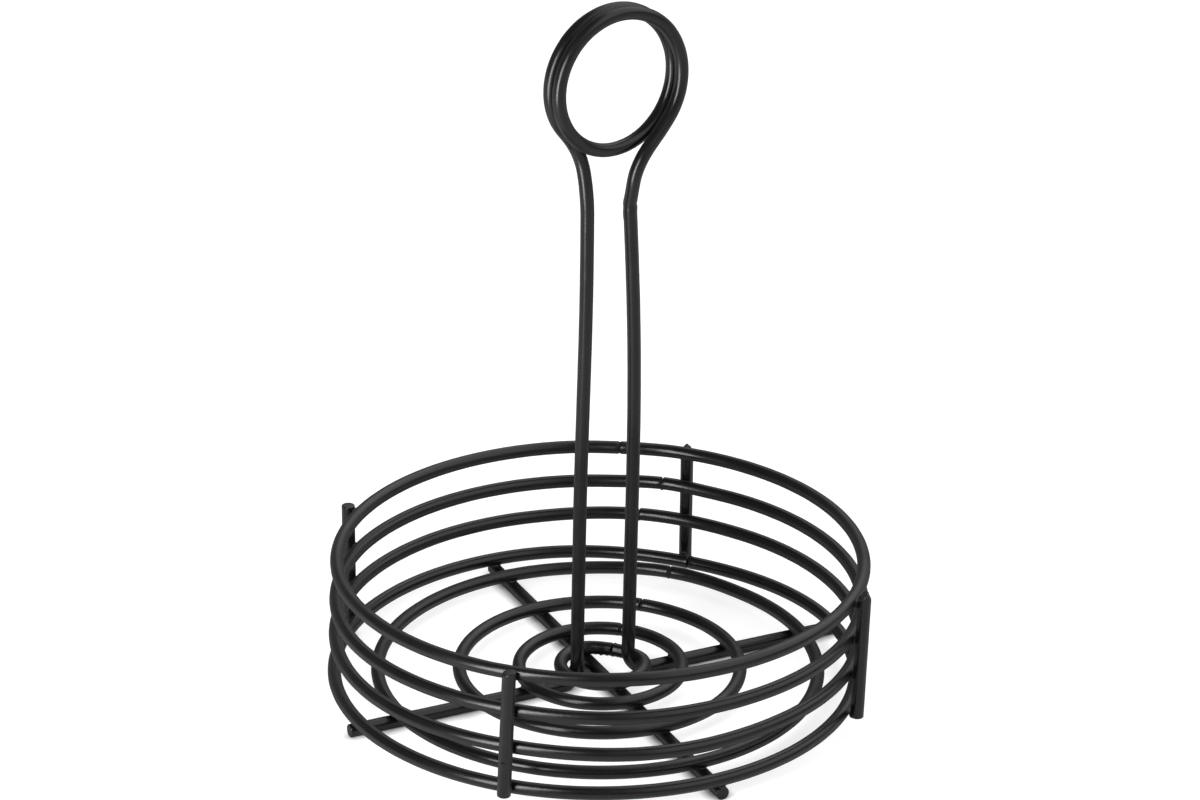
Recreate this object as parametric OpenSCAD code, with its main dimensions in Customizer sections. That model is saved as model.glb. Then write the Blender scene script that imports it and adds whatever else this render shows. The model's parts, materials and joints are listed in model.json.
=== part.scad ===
// Round condiment caddy, welded from one gauge of coated steel wire.
// Millimetres, +Z up. The caddy stands on z = 0 with its axis along Z.
// The legs of the handle lie along X, and the cross bar along Y.

/* [Wire] */
// Diameter of the coated wire
wire_d = 4.1; // [3:0.1:5]
// Space between two crossing wires, which the weld fills
weld_gap = 0.2; // [0.1:0.05:0.4]

/* [Basket wall] */
// Diameter of the four wall rings, on the wire's centre
wall_ring_d = 165; // [152:1:220]
// Distance from the bottom ring up to the lower ring, centre to centre
bottom_to_lower = 13.8; // [8:0.1:30]
// Distance from the lower ring up to the upper ring, centre to centre
lower_to_upper = 12.2; // [8:0.1:30]
// Distance from the upper ring up to the rim, centre to centre
upper_to_rim = 12.4; // [8:0.1:30]
// Angle of each upright from the right leg: back right, back left, front left, front right
upright_angles = [45, 132.5, 226, 313]; // [0:0.5:360]
// Height of the lowest upright's top end above the centre of the rim
upright_rise = 0.4; // [0:0.1:8]
// Depth of the lowest upright's bottom end below the centre of the bottom ring
upright_drop = 4.8; // [1:0.1:6]
// Height at which each upright is welded above the lowest one, in the same order
upright_lifts = [0, 1.2, 0.2, 4.3]; // [0:0.1:5]

/* [Basket floor] */
// Diameter of the outer floor ring, on the wire's centre
outer_floor_d = 139.4; // [110:0.2:150]
// Diameter of the middle floor ring, on the wire's centre
middle_floor_d = 89; // [70:0.2:110]
// Diameter of the inner floor ring, on the wire's centre
inner_floor_d = 51.6; // [44:0.2:70]
// Length of bar and legs past the centre of the bottom ring
tip_overhang = 3; // [0:0.1:10]

/* [Handle] */
// Distance between the two posts at the floor, centre to centre
post_foot_gap = 18; // [12:0.1:24]
// Distance between the two posts at their tops, along X
post_top_gap = 12.2; // [11:0.1:20]
// Distance between the two posts at their tops, along Y
post_stagger = 4.4; // [3:0.1:8]
// Height of the tops of the straight posts above the table
post_h = 163; // [100:1:260]
// Height from the tops of the posts to the bottom of the finger loop, on the wire's centre
neck_h = 17.7; // [16:0.1:40]
// Slope of the necks where they leave the loop, from upright
neck_angle = 42; // [35:1:48]
// Pull of the loop's end on the curve of the neck
neck_upper_pull = 12; // [10:0.5:16]
// Pull of the post on the curve of the neck
neck_lower_pull = 12; // [8:0.5:20]
// Diameter of the finger loop, on the wire's centre
loop_d = 43.4; // [38:0.1:60]
// Space between the loop's two turns
loop_gap = 0.5; // [0.45:0.05:1.5]
// Angle of the finger loop's plane from the handle's legs
loop_turn = 10; // [5:1:20]
// Distance of the posts, the hub ring and the cross bar from the axis, towards the right leg
post_offset = 1.4; // [0:0.1:3]
// Distance of the finger loop's centre from the axis, towards the right leg
loop_offset = 4; // [0:0.1:5]

/* [Welds] */
// Diameter of the bead where two wires cross
bead_d = 3.8; // [2.5:0.1:4.4]
// Length of the butt weld that closes a ring
butt_len = 1.6; // [0.8:0.1:3]
// Height of a butt weld's flash above the wire
butt_flash = 0.25; // [0.1:0.05:0.4]

/* [Hidden] */
$fn = 48;
// Facets round a ring where a bead is cut to fit it
fit_fn = 360;
// Facets round the wire there
wire_fn = 72;

coat_black = [0.07, 0.07, 0.07];
weld_black = [0.1, 0.1, 0.1];

// Two wires that cross lie this far apart, centre to centre
wire_step = wire_d + weld_gap;

// Heights of the wires' centres above the table
bar_z = wire_d / 2;
floor_z = bar_z + wire_step;
lower_z = floor_z + bottom_to_lower;
upper_z = lower_z + lower_to_upper;
rim_z = upper_z + upper_to_rim;
wall_z = [rim_z, upper_z, lower_z, floor_z];

// Radii of the rings; the hub ring nests in the bends at the feet of the posts
wall_r = wall_ring_d / 2;
hub_r = post_foot_gap / 2 + wire_step;
floor_r = [outer_floor_d / 2, middle_floor_d / 2, inner_floor_d / 2];
upright_r = wall_r + wire_step;
upright_h = upright_rise + rim_z - floor_z + upright_drop;
tip_r = wall_r + tip_overhang;

// Angles at which the rings are closed, rim to bottom and outer floor ring to inner
wall_joints = [60, 51, 54, 57];
floor_joints = [46, 48, 50];
hub_joint = 45;

// Path of the handle wire. Each half runs from the tip of its leg round a square bend, up its
// post, through its neck and round the loop to the bottom. The left half is worked out about the
// axis; half a turn about Z makes the right half. Then posts and loop take their own offsets.
x_axis = [1, 0, 0];
y_axis = [0, 1, 0];
z_axis = [0, 0, 1];
wire_sides = 12;
bend_steps = 8;
neck_steps = 12;
loop_steps = 32;
bend_r = wire_step;
bend_sweep = 90;
loop_r = loop_d / 2;
loop_z = post_h + neck_h + loop_r;
loop_pitch = wire_d + loop_gap;
loop_along = [cos(loop_turn), sin(loop_turn), 0];
loop_across = [sin(loop_turn), -cos(loop_turn), 0];
half_sweep = 270 + neck_angle;
loop_angle_step = 360 / loop_steps;
left = -1;
right = 1;

function unit(v) = v / norm(v);
function turned(p, side) = side == left ? p : [-p.x, -p.y, p.z];

// Point of one half of the loop, at an angle from its bottom
function loop_point(a, side) =
    x_axis * loop_offset + turned(
        z_axis * (loop_z - loop_r * cos(a)) + loop_along * loop_r * sin(a) - loop_across * loop_pitch * a / 360,
        side
    );
// Direction in which that half of the loop runs at that angle
function loop_direction(a, side) =
    unit(turned(
        z_axis * loop_r * sin(a) + loop_along * loop_r * cos(a) - loop_across * loop_pitch / (2 * PI),
        side
    ));

leg_tip = -x_axis * tip_r + z_axis * bar_z;
bend_centre = -x_axis * (post_foot_gap / 2 + bend_r) + z_axis * (bar_z + bend_r);
post_foot = bend_centre + x_axis * bend_r;
post_top = [-post_top_gap / 2, post_stagger / 2, post_h];
post_up = unit(post_top - post_foot);
function bend_point(a, side) =
    x_axis * post_offset + turned(bend_centre + x_axis * bend_r * sin(a) - z_axis * bend_r * cos(a), side);
function neck_controls(side) = [
    x_axis * post_offset + turned(post_top, side),
    x_axis * post_offset + turned(post_top + post_up * neck_lower_pull, side),
    loop_point(half_sweep, side) + loop_direction(half_sweep, side) * neck_upper_pull,
    loop_point(half_sweep, side)
];

// Cubic curve, t from 0 to 1
function curve_point(c, t) =
    c[0] * pow(1 - t, 3) + c[1] * 3 * t * pow(1 - t, 2) + c[2] * 3 * t * t * (1 - t) + c[3] * pow(t, 3);
function neck_point(t, side) = curve_point(neck_controls(side), t);

loop_whole_steps = ceil(half_sweep / loop_angle_step) - 1;
function half_path(side) = concat(
    [turned(leg_tip, side)],
    [for (i = [0:bend_steps]) bend_point(bend_sweep * i / bend_steps, side)],
    [for (i = [0:neck_steps]) neck_point(i / neck_steps, side)],
    [for (i = [loop_whole_steps:-1:1]) loop_point(i * loop_angle_step, side)]
);
left_half = half_path(left);
right_half = half_path(right);
handle_path = concat(
    left_half,
    [loop_point(0, left)],
    [for (i = [len(right_half) - 1:-1:0]) right_half[i]]
);

// Least gap between the two halves of the handle where they lie side by side,
// between points at least half a turn of wire apart
measure_steps = 4 * loop_steps;
neck_measure_steps = 4 * neck_steps;
function measured(side) = concat(
    [for (a = [0:360 / measure_steps:half_sweep]) [a, loop_point(a, side)]],
    [for (i = [0:neck_measure_steps]) [half_sweep, neck_point(i / neck_measure_steps, side)]]
);
loop_least_gap = min([
    for (p = measured(left), q = measured(right))
        if (p[0] + q[0] >= 180) norm(p[1] - q[1])
]) - wire_d;
echo(loop_least_gap = loop_least_gap);

// One closed tube of triangles along a path that nowhere runs along Y
module swept_wire(path) {
    last = len(path) - 1;
    points = [
        for (i = [0:last])
            let (along = unit(path[min(i + 1, last)] - path[max(i - 1, 0)]))
            let (side = unit(cross(along, y_axis)))
            let (over = cross(along, side))
            for (j = [0:wire_sides - 1])
                let (a = 360 * j / wire_sides)
                path[i] + (side * cos(a) + over * sin(a)) * wire_d / 2
    ];
    skin = [
        for (i = [0:last - 1], j = [0:wire_sides - 1])
            let (k = (j + 1) % wire_sides)
            let (near = i * wire_sides)
            let (far = near + wire_sides)
            for (face = [[near + j, far + k, near + k], [near + j, far + j, far + k]]) face
    ];
    caps = [
        for (j = [1:wire_sides - 2], face = [
            [0, j, j + 1],
            [last * wire_sides, last * wire_sides + j + 1, last * wire_sides + j]
        ]) face
    ];
    polyhedron(points, concat(skin, caps));
}

function joint_sweep(radius) = 360 * butt_len / (2 * PI * radius);

// A ring of wire, open where its butt weld goes
module wire_ring(radius, z, joint) {
    sweep = joint_sweep(radius);
    translate([0, 0, z])
        rotate([0, 0, joint + sweep / 2])
            rotate_extrude(angle = 360 - sweep)
                translate([radius, 0])
                    circle(d = wire_d);
}

// The butt weld that closes a ring
module ring_butt(radius, z, joint) {
    sweep = joint_sweep(radius);
    translate([0, 0, z])
        rotate([0, 0, joint - sweep / 2])
            rotate_extrude(angle = sweep)
                translate([radius, 0])
                    circle(d = wire_d + 2 * butt_flash);
}

// The space that a whole ring of wire takes up, cut out of the beads on it
module ring_space(radius) {
    rotate_extrude($fn = fit_fn)
        translate([radius, 0])
            circle(d = wire_d, $fn = wire_fn);
}

// One of the straight wires outside the wall rings
module upright(i) {
    color(coat_black)
        rotate([0, 0, upright_angles[i]])
            translate([upright_r, 0, floor_z - upright_drop + upright_lifts[i]])
                cylinder(h = upright_h, d = wire_d);
}

// A straight wire on the table under all the rings, at an angle from the legs
// and an offset from the axis: the cross bar itself, or the space that the legs take up
module floor_wire(angle, offset) {
    rotate([0, 0, angle])
        translate([0, offset, bar_z])
            rotate([0, 90, 0])
                cylinder(h = 2 * tip_r, d = wire_d, center = true);
}

// Beads between a floor wire and the rings above it
module floor_beads(angle, offset, radii) {
    difference() {
        for (radius = radii, side = [-1, 1])
            rotate([0, 0, angle])
                translate([side * sqrt(radius * radius - offset * offset), offset, bar_z + wire_step / 2])
                    sphere(d = bead_d);
        for (radius = radii)
            translate([0, 0, floor_z])
                ring_space(radius);
        floor_wire(angle, offset);
    }
}

module rim_ring() {
    color(coat_black) wire_ring(wall_r, wall_z[0], wall_joints[0]);
}

module upper_wall_ring() {
    color(coat_black) wire_ring(wall_r, wall_z[1], wall_joints[1]);
}

module lower_wall_ring() {
    color(coat_black) wire_ring(wall_r, wall_z[2], wall_joints[2]);
}

module bottom_wall_ring() {
    color(coat_black) wire_ring(wall_r, wall_z[3], wall_joints[3]);
}

module outer_floor_ring() {
    color(coat_black) wire_ring(floor_r[0], floor_z, floor_joints[0]);
}

module middle_floor_ring() {
    color(coat_black) wire_ring(floor_r[1], floor_z, floor_joints[1]);
}

module inner_floor_ring() {
    color(coat_black) wire_ring(floor_r[2], floor_z, floor_joints[2]);
}

module hub_ring() {
    color(coat_black)
        translate([post_offset, 0, 0])
            wire_ring(hub_r, floor_z, hub_joint);
}

module cross_bar() {
    color(coat_black) floor_wire(90, -post_offset);
}

module handle_wire() {
    color(coat_black) swept_wire(handle_path);
}

// Beads between the uprights and the wall rings
module wall_welds() {
    color(weld_black)
        difference() {
            for (angle = upright_angles, z = wall_z)
                rotate([0, 0, angle])
                    translate([wall_r + wire_step / 2, 0, z])
                        sphere(d = bead_d);
            for (z = wall_z)
                translate([0, 0, z])
                    ring_space(wall_r);
            for (i = [0:len(upright_angles) - 1])
                upright(i);
        }
}

module cross_bar_welds() {
    color(weld_black) {
        floor_beads(90, -post_offset, concat([wall_r], floor_r));
        translate([post_offset, 0, 0])
            floor_beads(90, 0, [hub_r]);
    }
}

// The legs pass under every ring but the hub ring
module handle_leg_welds() {
    color(weld_black) floor_beads(0, 0, concat([wall_r], floor_r));
}

// Beads in the bends of the handle wire, under the hub ring
module hub_welds() {
    color(weld_black)
        for (side = [0, 180])
            translate([post_offset, 0, floor_z])
                rotate([0, 0, side])
                    difference() {
                        translate([-hub_r, 0, 0])
                            rotate([0, -45, 0])
                                translate([0, 0, -wire_step / 2])
                                    sphere(d = bead_d);
                        ring_space(hub_r);
                        translate([-hub_r, 0, 0])
                            rotate([90, 0, 0])
                                ring_space(bend_r);
                    }
}

module wall_ring_butt_welds() {
    color(weld_black)
        for (i = [0:len(wall_z) - 1])
            ring_butt(wall_r, wall_z[i], wall_joints[i]);
}

module floor_ring_butt_welds() {
    color(weld_black) {
        for (i = [0:len(floor_r) - 1])
            ring_butt(floor_r[i], floor_z, floor_joints[i]);
        translate([post_offset, 0, 0])
            ring_butt(hub_r, floor_z, hub_joint);
    }
}

rim_ring();
upper_wall_ring();
lower_wall_ring();
bottom_wall_ring();
outer_floor_ring();
middle_floor_ring();
inner_floor_ring();
hub_ring();
upright(0);  // upright_back_right
upright(1);  // upright_back_left
upright(2);  // upright_front_left
upright(3);  // upright_front_right
cross_bar();
handle_wire();
wall_welds();
cross_bar_welds();
handle_leg_welds();
hub_welds();
wall_ring_butt_welds();
floor_ring_butt_welds();
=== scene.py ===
# %% [markdown]
# # A condiment caddy of welded wire
# The real caddy is bent and welded from one gauge of steel wire and then powder coated satin black.
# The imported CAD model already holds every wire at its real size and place. Here each wire is modelled
# again with what a close look shows: sheared ends, butt joints that don't quite line up, lumpy weld
# beads and a coat that flows over all of it.

import json
import math
import random

import bmesh
import bpy
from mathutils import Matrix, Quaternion, Vector


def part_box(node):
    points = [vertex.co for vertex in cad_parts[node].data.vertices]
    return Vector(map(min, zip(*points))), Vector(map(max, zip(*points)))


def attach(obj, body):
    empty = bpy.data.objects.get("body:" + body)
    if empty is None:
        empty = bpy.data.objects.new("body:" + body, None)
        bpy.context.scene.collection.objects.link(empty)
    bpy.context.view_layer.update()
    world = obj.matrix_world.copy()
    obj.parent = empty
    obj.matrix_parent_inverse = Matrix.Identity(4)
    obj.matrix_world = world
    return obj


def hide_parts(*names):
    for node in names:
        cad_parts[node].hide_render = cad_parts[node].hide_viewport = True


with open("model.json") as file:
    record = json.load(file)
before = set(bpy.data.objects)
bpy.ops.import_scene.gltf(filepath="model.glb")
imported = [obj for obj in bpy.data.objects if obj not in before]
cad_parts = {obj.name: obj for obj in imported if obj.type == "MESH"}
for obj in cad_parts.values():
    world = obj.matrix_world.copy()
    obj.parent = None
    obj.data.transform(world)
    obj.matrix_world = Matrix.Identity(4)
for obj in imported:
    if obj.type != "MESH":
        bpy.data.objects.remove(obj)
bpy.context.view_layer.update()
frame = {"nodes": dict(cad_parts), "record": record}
bpy.ops.object.select_all(action="DESELECT")

# %% [markdown]
# The sizes that the frame can give are read from it, so the looks follow when the CAD model changes.
# A ring's box gives its radius and its height, and the solids of the butt welds say where it is closed.

# %% Read sizes from the frame
mm = 0.001
bar_low, bar_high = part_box("cross_bar")
wire_r = (bar_high.z - bar_low.z) / 2
bar_z = (bar_high.z + bar_low.z) / 2


def ring_size(node):
    """Radius and centre of the centre line of a ring."""
    low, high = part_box(node)
    return max(high.x - low.x, high.y - low.y) / 2 - wire_r, (low + high) / 2


def joint_angle(weld_node, radius, centre):
    """Angle about a ring's centre at which the ring is closed."""
    reach = 2 * wire_r
    places = [vertex.co - centre for vertex in frame["nodes"][weld_node].data.vertices]
    near = [place for place in places if abs(place.z) < reach and abs(place.xy.length - radius) < reach]
    middle = sum(near, Vector()) / len(near)
    return math.atan2(middle.y, middle.x)


wall_rings = ["rim_ring", "upper_wall_ring", "lower_wall_ring", "bottom_wall_ring"]
floor_rings = ["outer_floor_ring", "middle_floor_ring", "inner_floor_ring", "hub_ring"]
wall_r, bottom_centre = ring_size("bottom_wall_ring")
floor_z = bottom_centre.z
wire_step = floor_z - bar_z
print("wire radius", round(wire_r / mm, 2), "mm, wall rings", round(wall_r / mm, 2), "mm")

# %% [markdown]
# The camera stands in front and to the left of the caddy and looks down on it through a long lens,
# as for a catalogue picture. Its place is given by the point it looks at, two angles and a distance,
# which is how a photographer would describe it. The slight roll is the photographer's too.

# %% Camera
view_turn = math.radians(-25.73)
view_rise = math.radians(24.14)
view_roll = math.radians(0.57)
view_distance = 1330 * mm
view_target = Vector((-0.3, 0.2, 98.5)) * mm
lens_length = 129.4
film_width = 36


def direction(turn, rise):
    """Unit vector towards a point at an angle round the caddy from its front and a height above it."""
    level = math.cos(rise)
    return Vector((math.sin(turn) * level, -math.cos(turn) * level, math.sin(rise)))


to_camera = direction(view_turn, view_rise)
bpy.ops.object.camera_add(location=view_target + to_camera * view_distance)
camera = bpy.context.object
camera.rotation_mode = "QUATERNION"
camera.rotation_quaternion = (-to_camera).to_track_quat("-Z", "Y") @ Quaternion((0, 0, 1), view_roll)
camera.data.lens = lens_length
camera.data.sensor_width = film_width
bpy.context.scene.camera = camera
bpy.context.scene.view_settings.view_transform = "Standard"
print("camera at", [round(x, 3) for x in camera.location])

# %% [markdown]
# Materials and light are networks of nodes, and two kinds of node come up again and again: a Math node,
# and a Map Range node that fades softly from nothing to some strength. A helper for each keeps the
# cells below short. Both take sockets to link or plain numbers, and hand back the node's output.

# %% Node tools
def math_node(tree, operation, *values):
    """Output of a Math node whose inputs are sockets or numbers."""
    node = tree.nodes.new("ShaderNodeMath")
    node.operation = operation
    for socket, value in zip(node.inputs, values):
        if isinstance(value, (int, float)):
            socket.default_value = value
        else:
            tree.links.new(value, socket)
    return node.outputs["Value"]


def soft_fade(tree, value, low, high, strength=1):
    """Output that fades from 0 to a strength while a socket's value goes from low to high."""
    node = tree.nodes.new("ShaderNodeMapRange")
    node.interpolation_type = "SMOOTHSTEP"
    node.inputs["From Min"].default_value = low
    node.inputs["From Max"].default_value = high
    node.inputs["To Max"].default_value = strength
    tree.links.new(value, node.inputs["Value"])
    return node.outputs["Result"]


print("node tools ready")

# %% [markdown]
# The floor is a wide sheet of pale paper. It glows a little for the camera and for reflections, which
# makes it white in the picture, and it still takes the soft shadow of the wires. The light that it throws
# on the wires is only what lamp and room give it. An Ambient Occlusion node, raised to a power, takes the
# glow away in the last few millimetres beside a wire. That dark line where metal stands on paper is a
# painted contact shadow in the glow.

# %% Floor
floor_width = 30
paper_grey = 0.4
paper_glow = 0.68
contact_shadow = 3.5 * mm
shadow_depth = 2.2
bpy.ops.mesh.primitive_plane_add(size=floor_width)
floor = bpy.context.object
floor.name = "floor"
paper = bpy.data.materials.new("pale_paper")
paper.use_nodes = True
floor.data.materials.append(paper)
tree = paper.node_tree
surface = tree.nodes["Principled BSDF"]
surface.inputs["Base Color"].default_value = (paper_grey, paper_grey, paper_grey, 1)
surface.inputs["Roughness"].default_value = 0.9
surface.inputs["Specular IOR Level"].default_value = 0
surface.inputs["Emission Color"].default_value = (1, 1, 1, 1)
path = tree.nodes.new("ShaderNodeLightPath")
mirrored = math_node(tree, "ADD", path.outputs["Is Glossy Ray"], path.outputs["Is Transmission Ray"])
seen = math_node(tree, "ADD", path.outputs["Is Camera Ray"], mirrored)
# Painted contact shadow: ambient occlusion darkens the floor's glow right beside the wires.
open_air = tree.nodes.new("ShaderNodeAmbientOcclusion")
open_air.samples = 8
open_air.inputs["Distance"].default_value = contact_shadow
deepened = math_node(tree, "POWER", open_air.outputs["AO"], shadow_depth)
seen_with_painted_shadow = math_node(tree, "MULTIPLY", seen, deepened)
glow = math_node(tree, "MULTIPLY", seen_with_painted_shadow, paper_glow)
tree.links.new(glow, surface.inputs["Emission Strength"])
print("floor", floor_width, "m wide")

# %% [markdown]
# Black wire shows its shape only through what it reflects. A tall, narrow lamp to the left of the camera
# draws the thin bright line along each wire. It is lifted a little off the floor: seen from above,
# upright wires mirror what stands low, so only the blurred foot of the lamp shows in them and their line
# is faint. Its lengths are in metres and its power is in watts.

# %% Lamp
up = Vector((0, 0, 1))
lamp_turn = math.radians(-32)
lamp_lean = math.radians(-12)
lamp_distance = 0.32
lamp_foot = 0.035
lamp_width = 0.11
lamp_tallness = 0.30
lamp_power = 2.3
to_lamp = direction(view_turn + lamp_turn, 0)
lamp_centre = to_lamp * lamp_distance + up * (lamp_foot + lamp_tallness / 2)
bpy.ops.object.light_add(type="AREA", location=lamp_centre)
lamp = bpy.context.object
lamp.name = "key_lamp"
lamp.rotation_mode = "QUATERNION"
lamp.rotation_quaternion = to_lamp.to_track_quat("Z", "Y") @ Quaternion((0, 0, 1), lamp_lean)
lamp.visible_camera = False
lamp.data.shape = "RECTANGLE"
lamp.data.size = lamp_width
lamp.data.size_y = lamp_tallness
lamp.data.energy = lamp_power
print("lamp at", [round(x, 3) for x in lamp.location])

# %% [markdown]
# The room could be built of planes, but painted straight into the world it takes fewer objects and no
# space. A large pale wall on the right starts above the horizon and greys the upper right side of every
# wire. A low pale board to the right of the camera fills the dark band on the front of the rings. The rest
# of the room stays dim, so the sides that mirror it turn deep black.
#
# Wall and board fade in between two values: of the height for the wall's foot, and of the likeness of two
# directions for everything else, which is 1 straight ahead and 0 square to it.

# %% Pale wall and board
room_glow = 0.3
wall_glow = 2.25
wall_sides = (-0.1, 0.35)
wall_heights = (0.15, 0.55)
board_glow = 0.45
board_edges = (0.9, 0.985)
to_wall = direction(view_turn + math.radians(105), 0)
to_board = direction(view_turn + math.radians(57), math.radians(-3))


def likeness(tree, heading, towards):
    """Output that says how nearly a direction points towards something: 1 is straight at it."""
    node = tree.nodes.new("ShaderNodeVectorMath")
    node.operation = "DOT_PRODUCT"
    node.inputs[1].default_value = towards
    tree.links.new(heading, node.inputs[0])
    return node.outputs["Value"]


world = bpy.data.worlds.new("studio")
bpy.context.scene.world = world
world.use_nodes = True
tree = world.node_tree
background = tree.nodes["Background"]
background.inputs["Color"].default_value = (1, 1, 1, 1)
heading = tree.nodes.new("ShaderNodeTexCoord").outputs["Generated"]
split = tree.nodes.new("ShaderNodeSeparateXYZ")
tree.links.new(heading, split.inputs["Vector"])
beside = soft_fade(tree, likeness(tree, heading, to_wall), *wall_sides)
above = soft_fade(tree, split.outputs["Z"], *wall_heights, wall_glow)
wall = math_node(tree, "MULTIPLY_ADD", beside, above, room_glow)
board = soft_fade(tree, likeness(tree, heading, to_board), *board_edges, board_glow)
tree.links.new(math_node(tree, "ADD", wall, board), background.inputs["Strength"])
print("world made of", len(tree.nodes), "nodes")

# %% [markdown]
# Powder coat is sprayed on dry and melted in an oven. It flows nearly smooth, but keeps a fine skin
# like that of an orange, and its gloss varies a little from place to place. An image would have to be
# unwrapped on every wire, so all of this comes from noise on Object coordinates, which needs no unwrapping
# and stays put in every view.
#
# Seen at a glancing angle, plain paint would mirror the white floor in a bright rim. Satin paint has too
# rough a skin for that, so a Layer Weight node makes the coat duller where it turns away from the eye.

# %% Coat materials
coat_shine = 0.23
patch_scale = 90
patch_low, patch_high = 0.3, 0.7
shade_low = Vector((0.8, 0.8, 0.8))
shade_high = Vector((1.2, 1.2, 1.22))
edge_turns = (0.25, 0.8)
edge_dulling = 0.45


def black_coat(name, colour, gloss_range, peel_size, peel_depth):
    """Satin black powder coat, with the size and depth of its orange skin in metres."""
    coat = bpy.data.materials.new(name)
    coat.use_nodes = True
    tree = coat.node_tree
    shader = tree.nodes["Principled BSDF"]
    shader.inputs["Specular IOR Level"].default_value = coat_shine
    place = tree.nodes.new("ShaderNodeTexCoord").outputs["Object"]

    patches = tree.nodes.new("ShaderNodeTexNoise")
    patches.inputs["Scale"].default_value = patch_scale
    patches.inputs["Detail"].default_value = 6
    tree.links.new(place, patches.inputs["Vector"])

    gloss = tree.nodes.new("ShaderNodeMapRange")
    gloss.inputs["From Min"].default_value = patch_low
    gloss.inputs["From Max"].default_value = patch_high
    gloss.inputs["To Min"].default_value = gloss_range[0]
    gloss.inputs["To Max"].default_value = gloss_range[1]
    tree.links.new(patches.outputs["Fac"], gloss.inputs["Value"])
    grazing = tree.nodes.new("ShaderNodeLayerWeight")
    dulled = soft_fade(tree, grazing.outputs["Facing"], *edge_turns, edge_dulling)
    roughness = math_node(tree, "ADD", gloss.outputs["Result"], dulled)
    tree.links.new(roughness, shader.inputs["Roughness"])

    shades = tree.nodes.new("ShaderNodeValToRGB")
    shades.color_ramp.elements[0].position = patch_low
    shades.color_ramp.elements[0].color = (*shade_low * colour, 1)
    shades.color_ramp.elements[1].position = patch_high
    shades.color_ramp.elements[1].color = (*shade_high * colour, 1)
    tree.links.new(patches.outputs["Fac"], shades.inputs["Fac"])
    tree.links.new(shades.outputs["Color"], shader.inputs["Base Color"])

    peel = tree.nodes.new("ShaderNodeTexNoise")
    peel.inputs["Scale"].default_value = 1 / peel_size
    peel.inputs["Detail"].default_value = 2
    tree.links.new(place, peel.inputs["Vector"])
    relief = tree.nodes.new("ShaderNodeBump")
    relief.inputs["Distance"].default_value = peel_depth
    relief.inputs["Strength"].default_value = 1
    tree.links.new(peel.outputs["Fac"], relief.inputs["Height"])
    tree.links.new(relief.outputs["Normal"], shader.inputs["Normal"])
    print("material", name)
    return coat


wire_coat = black_coat("wire_coat", 0.003, (0.2, 0.3), 0.8 * mm, 0.006 * mm)
weld_coat = black_coat("weld_coat", 0.004, (0.26, 0.38), 0.5 * mm, 0.02 * mm)

# %% [markdown]
# Every piece ends the same way. Its faces are shaded smooth except at real edges, it takes its coat, and
# it is put in the place of the CAD nodes that it stands for.

# %% Finishing a piece
edge_angle = 50


def finish_piece(piece, coat, slot, *cad_nodes):
    """Shade a finished piece, coat it and put it in the place of its CAD nodes."""
    bpy.ops.object.select_all(action="DESELECT")
    piece.select_set(True)
    bpy.context.view_layer.objects.active = piece
    bpy.ops.object.shade_smooth_by_angle(angle=math.radians(edge_angle))
    piece.data.materials.clear()
    piece.data.materials.append(coat)
    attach(piece, "root")
    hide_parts(*cad_nodes)
    print(piece.name, len(piece.data.polygons), "faces")


print("edges over", edge_angle, "degrees stay sharp")

# %% [markdown]
# No drawn wire is perfectly straight and no coat perfectly even. A Displace modifier with a cloud
# texture moves each surface by a few hundredths of a millimetre, which is enough to make the bright
# lines along the wires waver as they do on the real thing.

# %% Waves in the coat
def cloud_texture(name, size):
    """A cloud pattern with spots of about that size."""
    cloud = bpy.data.textures.new(name, "CLOUDS")
    cloud.noise_scale = size
    return cloud


coat_waves = cloud_texture("coat_waves", 5 * mm)
weld_lumps = cloud_texture("weld_lumps", 1.2 * mm)
wave_height = 0.06 * mm


def roughen(piece, texture, height):
    """Move a piece's surface in and out by up to half of height."""
    bpy.context.view_layer.objects.active = piece
    waves = piece.modifiers.new("waves", "DISPLACE")
    waves.texture = texture
    waves.texture_coords = "LOCAL"
    waves.strength = height
    waves.mid_level = 0.5
    bpy.ops.object.modifier_apply(modifier=waves.name)


print("cloud textures", coat_waves.name, "and", weld_lumps.name)

# %% [markdown]
# ## Rings
# The wires are a little thicker than in the CAD model, because the coat comes on top. They get their
# forms in edit mode, where four small tools do what comes up again and again: select vertices by their
# place, close the open ends of a tube, round its sharp edges, and push the wire at one place.
# Proportional editing lets the wire beside that place follow softly, as steel would.

# %% Edit tools
coat_thickness = 0.07 * mm
coated_r = wire_r + coat_thickness
held_length = 1.2 * coated_r
end_rounding = 0.3 * mm
rounding_steps = 4


def select_where(test):
    """In edit mode, select the vertices whose place passes a test."""
    mesh = bpy.context.edit_object.data
    cage = bmesh.from_edit_mesh(mesh)
    for vertex in cage.verts:
        vertex.select_set(test(vertex.co))
    cage.select_flush_mode()
    bmesh.update_edit_mesh(mesh)


def close_ends():
    """In edit mode, close the open ends of a tube."""
    bpy.ops.mesh.select_all(action="SELECT")
    bpy.ops.mesh.fill_holes(sides=0)
    bpy.ops.mesh.normals_make_consistent(inside=False)


def round_edges(sharpness):
    """In edit mode, round the edges that turn by more than an angle in degrees."""
    bpy.ops.mesh.select_all(action="DESELECT")
    bpy.ops.mesh.edges_select_sharp(sharpness=math.radians(sharpness))
    bpy.ops.mesh.bevel(offset=end_rounding, segments=rounding_steps, affect="EDGES")


def push_wire(place, move, reach):
    """In edit mode, move the wire at a place and let its neighbourhood follow."""
    select_where(lambda point: (point - place).length < held_length)
    bpy.ops.transform.translate(
        value=move, use_proportional_edit=True, proportional_edit_falloff="SMOOTH",
        proportional_size=reach, use_proportional_connected=True)


print("wire", round(2 * coated_r / mm, 2), "mm thick with its coat")

# %% [markdown]
# Each ring is a length of wire rolled into a circle until its ends meet. A torus would have no ends, so
# the wire's round section is spun about the ring's centre, as rollers would bend it. The spin stops short
# of a full turn, and a groove stays open for the weld. The ends of a rolled wire never line up, so one of
# them is lifted, and both are pushed in or out.

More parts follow.
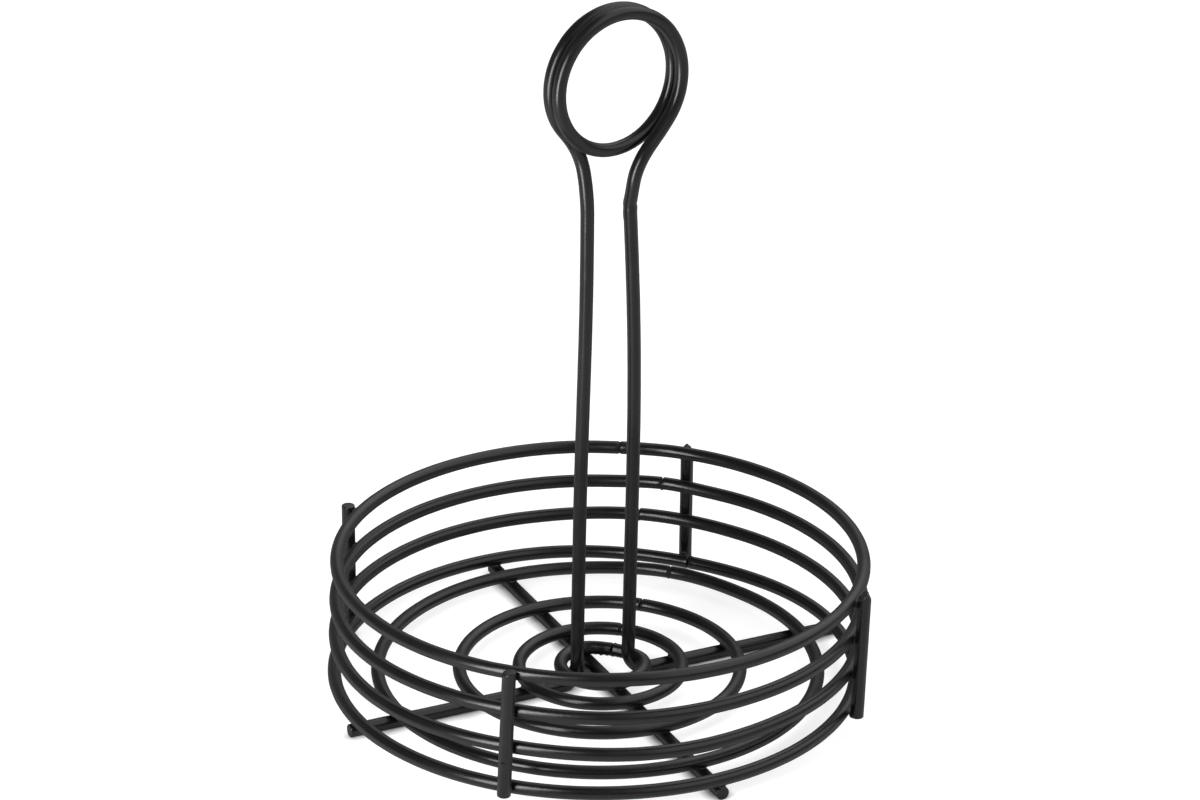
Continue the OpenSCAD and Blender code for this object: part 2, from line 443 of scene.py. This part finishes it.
# %% Rolling a ring
section_points = 32
ring_steps = 360
joint_groove = 0.5 * mm


def ring_point(radius, centre, angle):
    """Point on the centre line of a ring."""
    return centre + Vector((math.cos(angle), math.sin(angle), 0)) * radius


def rolled_ring(name, radius, centre, joint, lift, pushes, reach):
    """A ring of wire, open at its joint: left end lifted, left and right end pushed out."""
    half_gap = joint_groove / 2 / radius
    first = ring_point(radius, centre, joint + half_gap)
    last = ring_point(radius, centre, joint - half_gap)
    outward = ((first + last) / 2 - centre).normalized()
    section_turn = (math.pi / 2, 0, joint + half_gap)
    bpy.ops.object.select_all(action="DESELECT")
    bpy.ops.mesh.primitive_circle_add(
        vertices=section_points, radius=coated_r, location=first, rotation=section_turn)
    ring = bpy.context.object
    ring.name = name
    bpy.ops.object.transform_apply(location=True, rotation=True, scale=True)
    bpy.ops.object.mode_set(mode="EDIT")
    bpy.ops.mesh.select_all(action="SELECT")
    turn = 2 * math.pi - 2 * half_gap
    bpy.ops.mesh.spin(steps=ring_steps, angle=-turn, center=centre, axis=(0, 0, 1))
    close_ends()
    round_edges(sharpness=50)
    push_wire(first, outward * pushes[0] + up * lift, reach)
    push_wire(last, outward * pushes[1], reach)
    bpy.ops.object.mode_set(mode="OBJECT")
    roughen(ring, coat_waves, wave_height)
    return ring


print("ring joints open by", round(joint_groove / mm, 2), "mm")

# %% [markdown]
# The same tool rolls all eight rings, and three small tables say how each one differs. Lengths in them
# are in millimetres and angles in degrees.
#
# `ring_ends` says how far the joint is turned from its place in the CAD model, how far the left end is
# lifted, how far the left and the right end are pushed outward, and how much wire follows. The bottom
# wall ring has a long flat, with its joint beside an upright. `ring_shifts` says how far a ring was welded
# off centre. `ring_bulges` gives the angle, the height and the reach of each swelling in two wall rings.

# %% Roll the rings
ring_ends = {
    "rim_ring": (0, 0.15, -0.4, -0.4, 18),
    "upper_wall_ring": (-1.1, 0.4, 0.2, 0.1, 18),
    "lower_wall_ring": (1, 0.2, 0.35, 0.35, 36),
    "bottom_wall_ring": (-15.4, 0.1, 0, -2.1, 58),
    "outer_floor_ring": (-1.2, 0.2, 0.3, 0.6, 28),
    "middle_floor_ring": (-1.6, 0.4, -0.1, -0.3, 18),
    "inner_floor_ring": (-0.5, 0.25, -0.2, -0.2, 16),
    "hub_ring": (0, 0.6, -1.6, -1.9, 14),
}
ring_shifts = {
    "rim_ring": (0.2, -0.2),
    "upper_wall_ring": (-0.1, -0.3),
    "lower_wall_ring": (-0.4, 0),
    "bottom_wall_ring": (-1.0, 0.5),
    "outer_floor_ring": (-0.2, 0.1),
    "middle_floor_ring": (0.3, -0.25),
    "inner_floor_ring": (0.55, -0.3),
    "hub_ring": (0, 0),
}
ring_bulges = {
    "upper_wall_ring": [(180, 0.7, 50), (250, 0.8, 40)],
    "lower_wall_ring": [(195, 1.0, 75), (255, 1.3, 45)],
}
ring_joints = {}
for node, (turn, lift, left_push, right_push, reach) in ring_ends.items():
    weld_node = "wall_ring_butt_welds" if node in wall_rings else "floor_ring_butt_welds"
    radius, centre = ring_size(node)
    joint = joint_angle(weld_node, radius, centre) + math.radians(turn)
    centre = centre + Vector((*ring_shifts[node], 0)) * mm
    pushes = (left_push * mm, right_push * mm)
    ring = rolled_ring(node.replace("ring", "wire"), radius, centre, joint, lift * mm, pushes, reach * mm)
    for angle, push, spread in ring_bulges.get(node, []):
        place = ring_point(radius, centre, math.radians(angle))
        bpy.ops.object.mode_set(mode="EDIT")
        push_wire(place, (place - centre).normalized() * push * mm, spread * mm)
        bpy.ops.object.mode_set(mode="OBJECT")
    finish_piece(ring, wire_coat, "wire_coat", node)
    ring_joints[node] = (joint, ring_point(radius + sum(pushes) / 2, centre, joint))

# %% [markdown]
# ## Uprights and cross bar
# A cylinder would do for a straight wire, but the handle needs a path, so one tool draws them all along
# their centre line: one vertex is extruded from point to point, the chain of edges is made a curve that
# takes the wire's thickness, and the curve is made a mesh again. Bisecting the tube with a plane and
# throwing away the outer side is the cut of a shear, and a bevel then rounds the edge as the coat does.
#
# A curve's bevel resolution counts the points in each half of its section, less two.

# %% Drawn wires
def drawn_wire(name, points, thickness, cuts=()):
    """A round wire of some radius along a chain of points, cut by planes and closed."""
    bpy.ops.object.select_all(action="DESELECT")
    bpy.ops.mesh.primitive_plane_add(size=mm, location=points[0])
    wire = bpy.context.object
    wire.name = name
    bpy.ops.object.transform_apply(location=True, rotation=True, scale=True)
    bpy.ops.object.mode_set(mode="EDIT")
    bpy.ops.mesh.select_all(action="SELECT")
    bpy.ops.mesh.merge(type="CENTER")
    for here, there in zip(points, points[1:]):
        bpy.ops.mesh.extrude_vertices_move(TRANSFORM_OT_translate={"value": there - here})
    bpy.ops.object.mode_set(mode="OBJECT")
    bpy.ops.object.convert(target="CURVE")
    curve = bpy.context.object.data
    curve.bevel_depth = thickness
    curve.bevel_resolution = section_points // 2 - 2
    bpy.ops.object.convert(target="MESH")
    wire = bpy.context.object
    bpy.ops.object.mode_set(mode="EDIT")
    close_ends()
    for point, facing in cuts:
        bpy.ops.mesh.select_all(action="SELECT")
        bpy.ops.mesh.bisect(plane_co=point, plane_no=facing, use_fill=True, clear_outer=True)
    round_edges(sharpness=30)
    bpy.ops.object.mode_set(mode="OBJECT")
    roughen(wire, coat_waves, wave_height)
    return wire


point_spacing = 1.5 * mm


def straight_line(start, end):
    """Points from start to end, about one spacing apart."""
    steps = math.ceil((end - start).length / point_spacing)
    return [start.lerp(end, i / steps) for i in range(steps + 1)]


print("points along a wire every", round(point_spacing / mm, 2), "mm")

# %% [markdown]
# The uprights are short lengths cropped off straight wire and held against the rings by hand, so no two
# stand alike. A cropped end is rarely square either: a worn shear leaves a slope, and side cutters leave
# two slopes that meet in a ridge.
#
# Each row of the table says how far the foot and the top are lifted, how far the upright leans to the
# side, all in millimetres, and which cuts its top has. A cut is given by how far below the end it meets
# the axis, by its slope, and by the side that it faces, measured in degrees round from the camera.

# %% Uprights
aside = Vector((math.cos(view_turn), math.sin(view_turn), 0))
upright_shapes = {
    "upright_back_right": (0, 0.9, 0, [(0.45, 40, 90), (0.45, 40, -90)]),
    "upright_back_left": (0, 0, 0, []),
    "upright_front_left": (3.4, 1.8, 0.8, [(0.2, 8, -80), (-1.05, 46, -80)]),
    "upright_front_right": (0, 0, 0.55, [(1.3, 47, -90), (-0.66, 60, 90)]),
}
upright_lines = {}


def end_cut(top, drop, slope, side):
    """A cutting plane at a wire's top end: drop in mm, slope and side in degrees."""
    facing = direction(view_turn + math.radians(side), math.radians(90 - slope))
    return top - up * drop * mm, facing


for node, (foot_lift, top_lift, lean, cuts) in upright_shapes.items():
    low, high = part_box(node)
    middle = (low + high) / 2
    foot = Vector((middle.x, middle.y, low.z + foot_lift * mm)) - aside * lean * mm
    top = Vector((middle.x, middle.y, high.z + top_lift * mm)) + aside * lean * mm
    upright_lines[node] = (foot, top)
    cutters = [end_cut(top, *cut) for cut in cuts]
    wire = drawn_wire(node + "_wire", straight_line(foot, top), coated_r, cutters)
    finish_piece(wire, wire_coat, "wire_coat", node)

# %% [markdown]
# The cross bar is one straight wire under all the floor rings. It was welded a little to the right of the
# middle, and its front tip is a little short. It is drawn like the uprights, with both ends cut square.

# %% Cross bar
bar_shift = 0.5 * mm
bar_shortfall = 2 * mm
bar_x = (bar_low.x + bar_high.x) / 2 + bar_shift
bar_back = Vector((bar_x, bar_high.y, bar_z))
bar_front = Vector((bar_x, bar_low.y + bar_shortfall, bar_z))
bar = drawn_wire("cross_bar_wire", straight_line(bar_front, bar_back), coated_r)
finish_piece(bar, wire_coat, "wire_coat", "cross_bar")

# %% [markdown]
# ## Handle
# The handle is one long wire: leg, bend, post, neck, two turns of finger loop and back again, with the
# sizes of the CAD model. The right half is the left half turned round by half a turn.

# %% Handle sizes
post_foot_gap = 18 * mm
post_top_gap = 12.2 * mm
post_stagger = 4.4 * mm
post_height = 163 * mm
neck_slope = math.radians(42)
neck_pull = 12 * mm
loop_r = 21.7 * mm
loop_gap = 0.5 * mm
loop_pitch = 2 * wire_r + loop_gap
loop_turn = math.radians(10)
handle_low, handle_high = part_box("handle_wire")
hub_r, hub_centre = ring_size("hub_ring")
post_offset = Vector((hub_centre.x, 0, 0))
post_foot = Vector((-post_foot_gap / 2, 0, floor_z))
post_top = Vector((-post_top_gap / 2, post_stagger / 2, post_height))
post_up = (post_top - post_foot).normalized()
loop_mount = next(mount for mount in frame["record"]["mounts"] if mount["name"] == "finger_loop")
loop_centre = Vector(loop_mount["pos_m"])
loop_along = Vector((math.cos(loop_turn), math.sin(loop_turn), 0))
loop_across = Vector((math.sin(loop_turn), -math.cos(loop_turn), 0))
half_sweep = math.radians(270) + neck_slope
print("finger loop", round(2 * loop_r / mm, 1), "mm across, at height", round(loop_centre.z, 4), "m")

# %% [markdown]
# A bender's hand shows in the wire. The right foot is bent over a wider former than the left one, and its
# post bows out a little. The right neck starts with a sharp bend to the right and to the front, while the
# left neck is one smooth curve. The tops of the posts stand a little nearer or further than they should.
# Each of these is a value for the left and one for the right half.

# %% Left and right half
left = -1
right = 1
bend_radii = {left: wire_step, right: 7.5 * mm}
post_bows = {left: 0 * mm, right: 1.3 * mm}
post_leans = {left: 3.5 * mm, right: -1 * mm}
neck_tilts = {left: math.radians(0), right: math.radians(14)}
neck_leans = {left: math.radians(0), right: math.radians(18)}
forward = direction(view_turn, 0)
print("right foot bent over a radius of", round(bend_radii[right] / mm, 2), "mm")

# %% [markdown]
# The path could be pulled into shape by hand on a curve object. Here it is worked out point by point, so
# it follows the sizes above: a quarter circle for the bend, a straight or bowed post, a cubic curve that
# runs smoothly from the neck into the loop, and a helix for the loop.

# %% Handle path
bend_steps = 12
neck_steps = 24
loop_steps = 160
small_turn = 0.001


def turned(point, side):
    """A point of the left half as it is, or half a turn round for the right half."""
    return point if side == left else Vector((-point.x, -point.y, point.z))


def loop_point(angle, side):
    """Point on one half of the finger loop, at an angle from its bottom."""
    around = loop_along * loop_r * math.sin(angle) - up * loop_r * math.cos(angle)
    return loop_centre + turned(around - loop_across * loop_pitch * angle / (2 * math.pi), side)


def curve_point(controls, t):
    """Point on a cubic curve, t from 0 to 1."""
    a, b, c, d = controls
    return a * (1 - t) ** 3 + b * 3 * t * (1 - t) ** 2 + c * 3 * t * t * (1 - t) + d * t ** 3


def foot_bend(side):
    """Points of the bend between leg and post."""
    bend_r = bend_radii[side]
    bend_centre = Vector((post_foot.x - bend_r, 0, bar_z + bend_r))
    bend = []
    for i in range(bend_steps + 1):
        angle = math.radians(90) * i / bend_steps
        place = bend_centre + Vector((bend_r * math.sin(angle), 0, -bend_r * math.cos(angle)))
        bend.append(post_offset + turned(place, side))
    return bend


def half_path(side):
    """Points of one half of the handle, from the tip of its leg to the bottom of the loop."""
    tip = Vector((handle_low.x if side == left else handle_high.x, 0, bar_z))
    bend = foot_bend(side)
    points = straight_line(tip, bend[0])[:-1] + bend
    outward = Vector((side, 0, 0))
    top = post_offset + turned(post_top, side) + forward * post_leans[side]
    post = straight_line(bend[-1], top)
    for i in range(1, len(post) - 1):
        points.append(post[i] + outward * post_bows[side] * math.sin(math.pi * i / (len(post) - 1)))
    start_up = turned(post_up, side) + outward * math.tan(neck_tilts[side])
    start_up += forward * math.tan(neck_leans[side])
    loop_end = loop_point(half_sweep, side)
    leaving = (loop_point(half_sweep + small_turn, side) - loop_end).normalized()
    controls = [top, top + start_up * neck_pull, loop_end + leaving * neck_pull, loop_end]
    for i in range(neck_steps + 1):
        points.append(curve_point(controls, i / neck_steps))
    for i in range(loop_steps - 1, 0, -1):
        points.append(loop_point(half_sweep * i / loop_steps, side))
    return points


handle_path = half_path(left) + [loop_point(0, left)] + half_path(right)[::-1]
print("handle path:", len(handle_path), "points")

# %% [markdown]
# Pushing the finished wire at a few places, with the wire around following softly, gives it the slight
# wander that the jig left in it. Each row of `wanders` gives the half, the height, the move to the right
# and the length of wire that follows, in millimetres.
#
# The sharp bend at the right neck left a crease in the wire. Shrink/Fatten on a slanting band of it
# raises the little ridge.

# %% Handle
wanders = [(left, 135, 0.75, 75), (left, 176, -0.6, 14), (right, 122, 0.85, 85), (right, 176, -1.15, 12)]
crease_level = 160.5
crease_slant = 0.6
crease_width = 1.6 * mm
crease_rise = 0.14 * mm


def handle_place(side, level):
    """Point on one half of the handle, below the loop, at a height in millimetres."""
    half = half_path(side)[:-loop_steps]
    return min(half, key=lambda point: abs(point.z - level * mm))


crease = handle_place(right, crease_level)
across = (up - aside * crease_slant).normalized()


def in_crease(point):
    """Whether a point of the wire lies in the slanting band of the crease."""
    away = point - crease
    return abs(away.dot(across)) < crease_width / 2 and away.length < 2 * wire_r


handle = drawn_wire("handle_loop_wire", handle_path, coated_r)
bpy.ops.object.mode_set(mode="EDIT")
for side, level, move, reach in wanders:
    push_wire(handle_place(side, level), Vector((move, 0, 0)) * mm, reach * mm)
select_where(in_crease)
bpy.ops.transform.shrink_fatten(
    value=crease_rise, use_proportional_edit=True, proportional_size=crease_width,
    use_proportional_connected=True)
bpy.ops.object.mode_set(mode="OBJECT")
finish_piece(handle, wire_coat, "wire_coat", "handle_wire")

# %% [markdown]
# At the top of the loop the coat ran into the groove between the two turns and filled it. The filling is
# a thin wire that rises out of the groove, lies in it for a while and sinks back. Its angles are in degrees
# from the top of the loop.

# %% Coat in the groove
fill_r = 0.75 * mm
fill_start = -48
fill_sweep = 90
fill_steps = 60
fill_sunk = 0.2 * mm
fill_rise = 1.0 * mm
fill_points = []
for i in range(fill_steps + 1):
    turn = math.radians(fill_start + fill_sweep * i / fill_steps)
    ease = math.sin(math.pi * i / fill_steps) ** 0.5
    outward = loop_along * math.sin(turn) + up * math.cos(turn)
    fill_points.append(loop_centre + outward * (loop_r + fill_sunk + fill_rise * ease))
filling = drawn_wire("loop_groove_coat", fill_points, fill_r)
finish_piece(filling, wire_coat, "wire_coat")

# %% [markdown]
# ## Welds
# Where two wires cross, a current melts a small nugget between them, and a little metal squirts out at
# its sides. Each nugget starts as a ball flattened between the wires, with a few small drops round it.
# Their places are drawn by chance, from a fixed seed, so they are the same each time.

# %% Weld balls
chance = random.Random(4)
drop_size = 0.3 * mm
drop_spread = (0.6, 1.2)
nugget_half = Vector((1.25, 1.25, 0.9)) * mm
nugget_rim = 1.1 * mm
nugget_drops = 3


def ball(place, axis, half_sizes):
    """A ball with its own Z along an axis, stretched to three half sizes."""
    bpy.ops.mesh.primitive_ico_sphere_add(
        subdivisions=3, radius=1, location=place, rotation=axis.to_track_quat("Z", "Y").to_euler(),
        scale=half_sizes)
    return bpy.context.object


def drops(place, axis, ring, size, count):
    """Small balls of about one size, scattered on a circle round an axis."""
    axis_turn = axis.to_track_quat("Z", "Y")
    made = []
    for _ in range(count):
        angle = chance.uniform(0, 2 * math.pi)
        shift = Vector((math.cos(angle) * ring, math.sin(angle) * ring, chance.uniform(-0.5, 0.5) * size))
        radius = size * chance.uniform(*drop_spread)
        made.append(ball(place + axis_turn @ shift, axis, (radius, radius, radius)))
    return made


def nugget(place, axis):
    """The balls of one weld between two crossing wires, whose gap lies along an axis."""
    core = ball(place, axis, nugget_half)
    return [core] + drops(place, axis, nugget_rim, drop_size, nugget_drops)


print("drops of about", round(drop_size / mm, 2), "mm round each nugget")

# %% [markdown]
# Metaballs would flow together by themselves, but their size is hard to steer. So a Remesh modifier melts
# balls and drops into one skin, Smooth rounds the creases, and the cloud texture makes it lumpy. The
# nuggets of one kind are joined into one piece, as in the CAD model.

# %% Melting
bead_grain = 0.13 * mm
bead_lump = 0.4 * mm
bead_smoothing = 4


def melted(name, balls, lump):
    """Join balls into one piece of lumpy welds."""
    bpy.ops.object.select_all(action="DESELECT")
    for one in balls:
        one.select_set(True)
    bpy.context.view_layer.objects.active = balls[0]
    bpy.ops.object.transform_apply(location=True, rotation=True, scale=True)
    bpy.ops.object.join()
    group = bpy.context.object
    group.name = name
    bpy.context.scene.cursor.location = (0, 0, 0)
    bpy.ops.object.origin_set(type="ORIGIN_CURSOR")
    skin = group.modifiers.new("skin", "REMESH")
    skin.mode = "VOXEL"
    skin.voxel_size = bead_grain
    bpy.ops.object.modifier_apply(modifier=skin.name)
    smooth = group.modifiers.new("smooth", "SMOOTH")
    smooth.iterations = bead_smoothing
    bpy.ops.object.modifier_apply(modifier=smooth.name)
    roughen(group, weld_lumps, lump)
    return group


print("weld grain", round(bead_grain / mm, 2), "mm")

# %% [markdown]
# The uprights are welded to all four wall rings. Three blobs of spatter stuck to the front of two of
# them: one on the front left upright, two at the foot of the back right one. Each row gives the share of
# the upright's length, how far left of its middle the blob sits, and its half sizes in millimetres.

# %% Wall welds
wall_nuggets = []
for foot, top in upright_lines.values():
    outward = Vector((foot.x + top.x, foot.y + top.y, 0)).normalized()
    for ring in wall_rings:
        radius, centre = ring_size(ring)
        wall_nuggets += nugget(outward * (radius + wire_step / 2) + up * centre.z, outward)
spatter = [
    ("upright_front_left", 0.285, 0.6, (0.9, 0.6, 0.3)),
    ("upright_back_right", 0.12, 0.5, (0.9, 0.7, 1.0)),
    ("upright_back_right", 0.08, 1.6, (0.7, 0.7, 0.7)),
]
for node, share, offset, half_sizes in spatter:
    foot, top = upright_lines[node]
    place = foot.lerp(top, share) + forward * coated_r - aside * offset * mm
    wall_nuggets.append(ball(place, up, Vector(half_sizes) * mm))
group = melted("wall_weld_beads", wall_nuggets, bead_lump)
finish_piece(group, weld_coat, "weld_coat", "wall_welds")

# %% [markdown]
# The rings lie on the cross bar and on the legs of the handle, so there is a nugget wherever a ring
# crosses one of them. The hub ring misses the legs: it sits in the corner of the bends.

# %% Floor welds
bar_nuggets = []
leg_nuggets = []
for ring in ["bottom_wall_ring"] + floor_rings:
    radius, centre = ring_size(ring)
    level = up * (bar_z + wire_step / 2)
    off_centre = bar_x - centre.x
    for side in (1, -1):
        reach = math.sqrt(radius ** 2 - off_centre ** 2)
        bar_nuggets += nugget(Vector((bar_x, side * reach, 0)) + level, up)
        if ring != "hub_ring":
            leg_nuggets += nugget(Vector((side * radius, 0, 0)) + level, up)
group = melted("cross_bar_weld_beads", bar_nuggets, bead_lump)
finish_piece(group, weld_coat, "weld_coat", "cross_bar_welds")
group = melted("handle_leg_weld_beads", leg_nuggets, bead_lump)
finish_piece(group, weld_coat, "weld_coat", "handle_leg_welds")

# %% [markdown]
# A nugget holds the hub ring in each bend of the handle. Between the left foot and the cross bar a longer
# bead was run in by hand. A row of overlapping balls becomes one bead when they are melted together.

# %% Hub welds
foot_bead_start = Vector((-2.9, 2.5, 1.9)) * mm
foot_bead_step = Vector((0, 1.8, 0)) * mm
foot_bead_half = Vector((2.6, 1.9, 1.5)) * mm
foot_bead_count = 5
hub_nuggets = []
for side in (1, -1):
    towards = Vector((-side, 0, -1)).normalized()
    middle = hub_centre + Vector((side * hub_r, 0, 0)) + towards * wire_step / 2
    hub_nuggets += nugget(middle, towards)
for i in range(foot_bead_count):
    hub_nuggets.append(ball(foot_bead_start + foot_bead_step * i, up, foot_bead_half))
group = melted("hub_weld_beads", hub_nuggets, bead_lump)
finish_piece(group, weld_coat, "weld_coat", "hub_welds")

# %% [markdown]
# The hub ring had the most metal to spare when it was closed: lumps of it hang under its inner edge, on
# both sides of the joint. Their angles run from right to left of it, in radians. Next to the joint they lie
# furthest inside the ring, and away from it they come closer to the wire.

# %% Lumps on the hub ring
lump_count = 10
lump_start = -0.8
lump_sweep = 1.5
lump_depth = 2.6
lump_taper = 1.8
lump_radii = (0.6, 1.0)
lump_hang = (1.3, 1.9)


def hub_lumps():
    """Lumps under the inner edge of the hub ring, from right to left of its joint."""
    joint, _ = ring_joints["hub_ring"]
    made = []
    for i in range(lump_count):
        off = lump_start + lump_sweep * i / (lump_count - 1)
        depth = (lump_depth - lump_taper * abs(off)) * mm
        place = ring_point(hub_r - depth, hub_centre, joint + off)
        radius = chance.uniform(*lump_radii) * mm
        below = up * chance.uniform(*lump_hang) * mm
        made.append(ball(place - below, up, (radius, radius, radius)))
    return made


print("lumps on the hub ring:", lump_count)

# %% [markdown]
# A butt weld presses two hot ends together. The metal that squeezes out freezes as a few drops beside the
# groove, and nobody grinds them off at the back of the rings. A flat ball in the groove joins the ends.

# %% Butt welds
collar_half = Vector((0.96, 0.96, 0.4)) * wire_r
collar_rim = 0.82 * wire_r
collar_drops = 6
collar_lump = 0.5 * mm
for kind, rings in (("wall", wall_rings), ("floor", floor_rings)):
    collars = []
    for node in rings:
        joint, middle = ring_joints[node]
        along = Vector((-math.sin(joint), math.cos(joint), 0))
        collars.append(ball(middle, along, collar_half))
        collars += drops(middle, along, collar_rim, drop_size, collar_drops)
    if kind == "floor":
        collars += hub_lumps()
    group = melted(kind + "_butt_collars", collars, collar_lump)
    finish_piece(group, weld_coat, "weld_coat", kind + "_ring_butt_welds")
